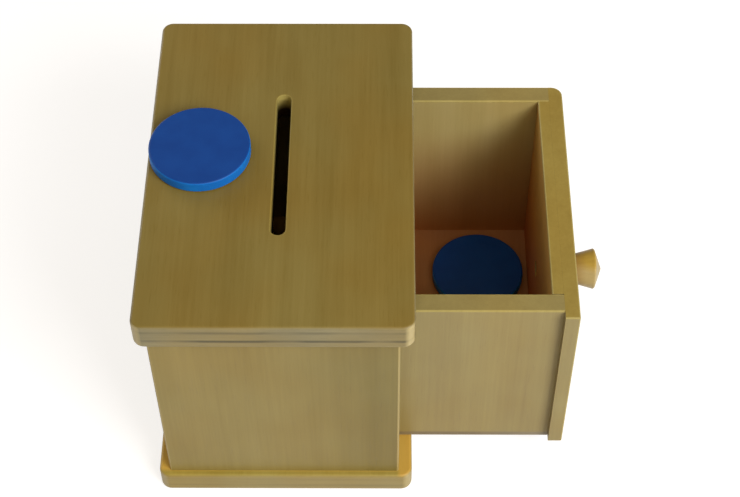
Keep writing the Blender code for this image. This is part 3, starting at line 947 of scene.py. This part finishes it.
# %% Drawer bottom
BOTTOM_EASE = 0.3 * MM
bottom_low, bottom_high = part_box("drawer_bottom")
bottom_plywood = plywood(
    "thin reddish plywood",
    bottom_low.z,
    bottom_high.z,
    face=("A06C42", "B07E52"),
    edge=("8A7F68", "A0957C"),
    glue="5E5240",
    lines=(0.4, 0.4),
)
bottom = eased_board(
    "drawer_bottom_dressed", "drawer_bottom", BOTTOM_EASE, (bottom_plywood,), (), ("+Z", "+X")
)
drill(bottom, pins)
dress(bottom, "drawer", "drawer_bottom", "plywood")
print("bottom sheet", [round(v / MM, 1) for v in bottom.dimensions])

# %% [markdown]
# ## The knob
#
# The knob is turned from paler wood: a neck that widens to a rim, and a low point. Its spigot is glued
# through the face.
# It is one profile for the lathe. The neck swells in a slow curve, and the rim is a small arc, because a
# sharp rim would have no highlight.

# %% Turned knob
KNOB_STEPS = 72
NECK_RADIUS = 5.75 * MM
RIM_RADIUS = 9.35 * MM
RIM_REACH = 15 * MM
RIM_ROUND = 0.9 * MM
RIM_ARC = math.radians(66)
NECK_ROUND = 0.4 * MM
NECK_POINTS = 8
ARC_POINTS = 6
NECK_SWELL = 1.15  # above 1, the neck's outline is hollow
POINT_SWELL = (0.5, 0.52)  # half way in, the point has risen by a little more than half
TIP_RADIUS = 0.9 * MM
TIP_DROP = 0.08  # as a share of the point's rise

knob_start = face_high.x + HOLE_CLEARANCE
tip = knob_high.x - knob_start
spigot_end = knob_low.x - knob_start
rim_centre = Vector((RIM_RADIUS - RIM_ROUND, RIM_REACH - RIM_ROUND / 2))
profile = [(0, spigot_end), (SPIGOT_RADIUS, spigot_end), (SPIGOT_RADIUS, 0), (NECK_RADIUS - NECK_ROUND, 0)]
for step in range(NECK_POINTS + 1):
    share = step / NECK_POINTS
    reach = NECK_ROUND + share * (rim_centre.y - NECK_ROUND)
    profile.append((NECK_RADIUS + (RIM_RADIUS - NECK_RADIUS) * share**NECK_SWELL, reach))
for step in range(1, ARC_POINTS + 1):
    angle = RIM_ARC * step / ARC_POINTS
    profile.append((rim_centre.x + RIM_ROUND * math.cos(angle), rim_centre.y + RIM_ROUND * math.sin(angle)))
last_radius, last_height = profile[-1]
rise = tip - last_height
profile.append((last_radius * POINT_SWELL[0], last_height + rise * POINT_SWELL[1]))
profile += [(TIP_RADIUS, tip - rise * TIP_DROP), (0, tip)]
knob = turned("knob_dressed", profile, (knob_start, knob_middle.y, knob_middle.z), OUTWARD, KNOB_STEPS)
print("knob of", len(knob.data.polygons), "faces")

# %% Knob finish
# Turned beech shows its fibres along the neck, and dots on the point, where they are cut across. Its upper
# side is yellower, and round the neck it is darker and more orange.
POLISHED = 0.4
UPPER_SIDE = ("FFF0A0", UP, knob_middle.z + 8 * MM, knob_middle.z + 5.5 * MM)
NECK = ("C8A468", OUTWARD, knob_start + 3 * MM, knob_start + 11 * MM)
knob_wood = wood(
    "turned beech",
    ("AC965E", "C6B07A"),
    "X",
    ends=("AE9A62", "C8B482"),
    roughness=POLISHED,
    tints=[UPPER_SIDE, NECK],
)
dress(knob, "drawer", "knob", "knob_wood", knob_wood)
print("knob from x", round(knob_start, 4), "to", round(knob_high.x, 4))

# %% [markdown]
# ## The discs
#
# Two discs of sawn wood are dipped in blue paint. The paint is even and satin on their faces, and the grain
# just shows through it. On the turned edge it is a brighter blue, which is painted light.
# A disc is a cylinder whose two rims are rounded by a bevel.

# %% Blue paint
PAINT_CLOUD = (9 * MM, 9 * MM, 2)
PAINT_TONES = (0.3, 0.7)  # the noise that takes the dark and the pale colour
PAINT_ROUGHNESS = {"To Min": 0.48, "To Max": 0.6}
PAINT_IOR = 1.5
PAINT_SPECULAR = 0.25
PAINT_BUMP = 0.05 * MM  # what the paint leaves of the fibres
PAINT_BUMP_STRENGTH = 0.25


def blue_paint(name, faces, edge):
    """Satin paint, with painted light on the edge. Each pair of colours is dark, pale."""
    material, tree = new_finish(name)
    where = node(tree, "TexCoord", {})
    place = where.outputs["Object"]
    _, height = wood_tone(tree, place, "X")
    cloud = streaks(tree, place, "", PAINT_CLOUD)
    on_faces = node(tree, "ValToRGB", {"Fac": cloud}, stops=zip(PAINT_TONES, faces))
    lit_edge_paint = node(tree, "ValToRGB", {"Fac": cloud}, stops=zip(PAINT_TONES, edge))
    is_face = looks_along(tree, where, "Z")
    colour = node(tree, "Mix", {0: is_face, 6: lit_edge_paint, 7: on_faces}, data_type="RGBA").outputs[2]
    roughness = node(tree, "MapRange", {"Value": cloud, **PAINT_ROUGHNESS})
    bump = {"Height": height, "Strength": PAINT_BUMP_STRENGTH, "Distance": PAINT_BUMP}
    coat = {"IOR": PAINT_IOR, "Specular IOR Level": PAINT_SPECULAR, "Normal": node(tree, "Bump", bump)}
    surface = node(tree, "BsdfPrincipled", {"Base Color": colour, "Roughness": roughness, **coat})
    node(tree, "OutputMaterial", {"Surface": surface})
    return material


# The edge takes a brighter blue: painted light for the edge that the lamps reach.
paint = blue_paint("blue painted wood", ("084090", "0B4698"), ("0A6CC8", "0E7AD6"))
print("blue paint with clouds", PAINT_CLOUD[0] / MM, "mm across")

# %% Two discs
DISC_SIDES = 128
DISC_ROUND = 1 * MM
DISC_STEPS = 5

for disc, body in (("disc_on_top", "top_disc"), ("disc_in_drawer", "drawer_disc")):
    low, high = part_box(disc)
    bpy.ops.object.select_all(action="DESELECT")
    bpy.ops.mesh.primitive_cylinder_add(
        vertices=DISC_SIDES, radius=(high.x - low.x) / 2, depth=high.z - low.z, location=(low + high) / 2
    )
    bpy.ops.object.transform_apply()
    piece = bpy.context.object
    piece.name = disc + "_dressed"
    bevel_edges(piece, lambda a, b: abs(a.z - b.z) < TOUCH, DISC_ROUND, DISC_STEPS)
    dress(piece, body, disc, "blue_paint", paint)
    print(piece.name, [round(v / MM, 1) for v in piece.dimensions])

# %% [markdown]
# ## The dowels
#
# Nothing shows on the outside of the box's joints: they are held by beech dowels, pressed with grooves that
# let the glue out. They are hidden until the box is taken apart.
# A dowel is a cylinder with as many sides as it has ribs and grooves. Its ends are chamfered, and every
# second side is then inset by itself and pushed in. Each kind is modelled once, at the origin, and copied.

# %% Fluted dowels
RIB_WIDTH = 0.785 * MM
GROOVE_DEPTH = 0.22 * MM
GROOVE_INSET = 0.12 * MM
DOWEL_CHAMFER = 0.6 * MM


def fluted_dowel(length, radius):
    """A grooved dowel along Z, about the origin."""
    ribs = round(math.pi * radius / RIB_WIDTH)
    bpy.ops.object.select_all(action="DESELECT")
    bpy.ops.mesh.primitive_cylinder_add(vertices=2 * ribs, radius=radius, depth=length)
    dowel = bpy.context.object
    bevel_edges(dowel, lambda a, b: abs(a.z - b.z) < TOUCH, DOWEL_CHAMFER, steps=1)
    edit(dowel, "FACE")
    mesh = bmesh.from_edit_mesh(dowel.data)
    for face in mesh.faces:
        number = math.floor(math.atan2(face.normal.y, face.normal.x) / math.tau * 2 * ribs)
        face.select_set(abs(face.normal.z) < 1 - SQUARELY and number % 2 == 0)
    bmesh.update_edit_mesh(dowel.data)
    bpy.ops.mesh.inset(thickness=GROOVE_INSET, depth=-GROOVE_DEPTH, use_individual=True)
    bpy.ops.object.mode_set(mode="OBJECT")
    return dowel


def place_copy(model, name, place):
    """A copy of a modelled piece with its own mesh, put in its place in that mesh."""
    copy = bpy.data.objects.new(name, model.data.copy())
    bpy.context.scene.collection.objects.link(copy)
    copy.data.transform(place)
    return copy


# Raw beech is pinkish and dull, with short dark flecks along the grain.
RAW = 0.62
level_beech = wood("raw beech dowel, level", ("A8825A", "C4A07A"), "Y", roughness=RAW)
upright_beech = wood("raw beech dowel, upright", ("A8825A", "C4A07A"), "Z", roughness=RAW)
for start, body, finish in (
    ("top_dowel", "box", upright_beech),
    ("wall_dowel", "box", level_beech),
    ("drawer_dowel", "drawer", level_beech),
):
    rods = nodes_named(start)
    _, length, radius, axis = rod_axis(rods[0])
    model = fluted_dowel(length, radius)
    for rod in rods:
        place = Matrix.LocRotScale(rod_axis(rod)[0], Matrix.Rotation(AXIS_TURN[axis][0], 3, "X"), None)
        dress(place_copy(model, rod + "_dressed", place), body, rod, "dowel", finish)
    bpy.data.objects.remove(model)
    print(len(rods), "dowels", round(2 * radius / MM, 1), "x", round(length / MM, 1), "mm")

# %% [markdown]
# ## The screws and pins
#
# Six countersunk screws hold the base, and six pins hold the drawer's bottom. Their heads show from below.
# Both are turned. A real thread climbs round the shank, but plain rings look the same at this size and keep
# the solid closed. The cross in a screw's head is cut by two slim wedges, each a cube whose inner side is
# scaled down in edit mode.

# %% Plated steel
STEEL_PATCH = (1.5 * MM, 1.5 * MM, 3)
STEEL_TONES = (0.35, 0.65)
STEEL_SMOOTHER = 0.1  # how far the roughness goes either way
STEEL_ROUGHER = 0.12
STEEL_BUMP = 0.02 * MM
STEEL_BUMP_STRENGTH = 0.2


def plated_steel(name, dark, pale, roughness):
    """Zinc over steel: a cool grey mirror, dulled in small patches."""
    material, tree = new_finish(name)
    place = node(tree, "TexCoord", {}).outputs["Object"]
    patch = streaks(tree, place, "", STEEL_PATCH)
    colour = node(tree, "ValToRGB", {"Fac": patch}, stops=zip(STEEL_TONES, (dark, pale)))
    reach = {"To Min": roughness - STEEL_SMOOTHER, "To Max": roughness + STEEL_ROUGHER}
    uneven = node(tree, "MapRange", {"Value": patch, **reach})
    bump = {"Height": patch, "Strength": STEEL_BUMP_STRENGTH, "Distance": STEEL_BUMP}
    metal = {"Metallic": 1, "Normal": node(tree, "Bump", bump)}
    surface = node(tree, "BsdfPrincipled", {"Base Color": colour, "Roughness": uneven, **metal})
    node(tree, "OutputMaterial", {"Surface": surface})
    return material


# The screws are zinc plated, pale and dull. The pins are cut from drawn wire, darker and shinier.
zinc = plated_steel("zinc plated steel", "A9ACAE", "CDCFCE", roughness=0.34)
bright_steel = plated_steel("bright steel wire", "9A9A98", "BDBDBA", roughness=0.28)
print("steel with patches", STEEL_PATCH[0] / MM, "mm across")

# %% Countersunk screws
THREAD_PITCH = 1.6 * MM
THREAD_DEPTH = 0.4 * MM
THREAD_START = 9 * MM
CROSS_LENGTH = 4 * MM
CROSS_WIDTH = 0.9 * MM
CROSS_DEPTH = 1.7 * MM
CROSS_TAPER = 0.55

_, screw_length = foot(screws[0])
point = 2 * SCREW_SHANK_RADIUS
core = SCREW_SHANK_RADIUS - THREAD_DEPTH
profile = [(0, 0), (SCREW_HEAD_RADIUS, 0), (SCREW_HEAD_RADIUS, SCREW_LIP), (core, SCREW_LIP + SCREW_CONE)]
height = THREAD_START
while height + THREAD_PITCH < screw_length - point:
    profile += [(core, height), (SCREW_SHANK_RADIUS, height + THREAD_PITCH / 2)]
    height += THREAD_PITCH
profile += [(core, height), (0, screw_length)]
screw_model = turned("screw_model", profile, (0, 0, 0), UP, HOLE_SIDES)
for size in (
    Vector((CROSS_LENGTH, CROSS_WIDTH, 2 * CROSS_DEPTH)),
    Vector((CROSS_WIDTH, CROSS_LENGTH, 2 * CROSS_DEPTH)),
):
    wedge = start_box("cross_wedge", -size / 2, size / 2)
    edit(wedge, "VERT")
    mesh = bmesh.from_edit_mesh(wedge.data)
    for vert in mesh.verts:
        vert.select_set(vert.co.z > 0)
    mesh.select_flush(True)
    bmesh.update_edit_mesh(wedge.data)
    bpy.ops.transform.resize(value=(CROSS_TAPER, CROSS_TAPER, 1), center_override=(0, 0, CROSS_DEPTH))
    bpy.ops.object.mode_set(mode="OBJECT")
    cut_out(screw_model, wedge)
for screw in screws:
    copy = place_copy(screw_model, screw + "_dressed", Matrix.Translation(foot(screw)[0]))
    dress(copy, "box", screw, "steel", zinc)
bpy.data.objects.remove(screw_model)
print(len(screws), "screws of", round(screw_length / MM, 1), "mm")

# %% Pins under the drawer
PIN_RADIUS = 0.7 * MM
PIN_HEAD_RADIUS = 1.5 * MM
PIN_HEAD = 0.6 * MM
PIN_RING = 0.1 * MM
PIN_RING_PITCH = 0.5 * MM
PIN_RINGS = 5
PIN_SIDES = 12

_, pin_length = foot(pins[0])
pin_point = 2 * PIN_RADIUS
profile = [(0, 0), (PIN_HEAD_RADIUS, 0), (PIN_HEAD_RADIUS, PIN_HEAD), (PIN_RADIUS, PIN_HEAD)]
height = 2 * PIN_HEAD
for _ in range(PIN_RINGS):
    profile += [(PIN_RADIUS, height), (PIN_RADIUS - PIN_RING, height + PIN_RING_PITCH / 2)]
    height += PIN_RING_PITCH
profile += [(PIN_RADIUS, height), (PIN_RADIUS, pin_length - pin_point), (0, pin_length)]
pin_model = turned("pin_model", profile, (0, 0, 0), UP, PIN_SIDES)
for pin in pins:
    copy = place_copy(pin_model, pin + "_dressed", Matrix.Translation(foot(pin)[0]))
    dress(copy, "drawer", pin, "steel", bright_steel)
bpy.data.objects.remove(pin_model)
print(len(pins), "pins of", round(pin_length / MM, 1), "mm")

# %% [markdown]
# ## The size
#
# The measured box's size is printed.

# %% The measured size
print("CAD box", [round(v, 4) for v in cad_high - cad_low])
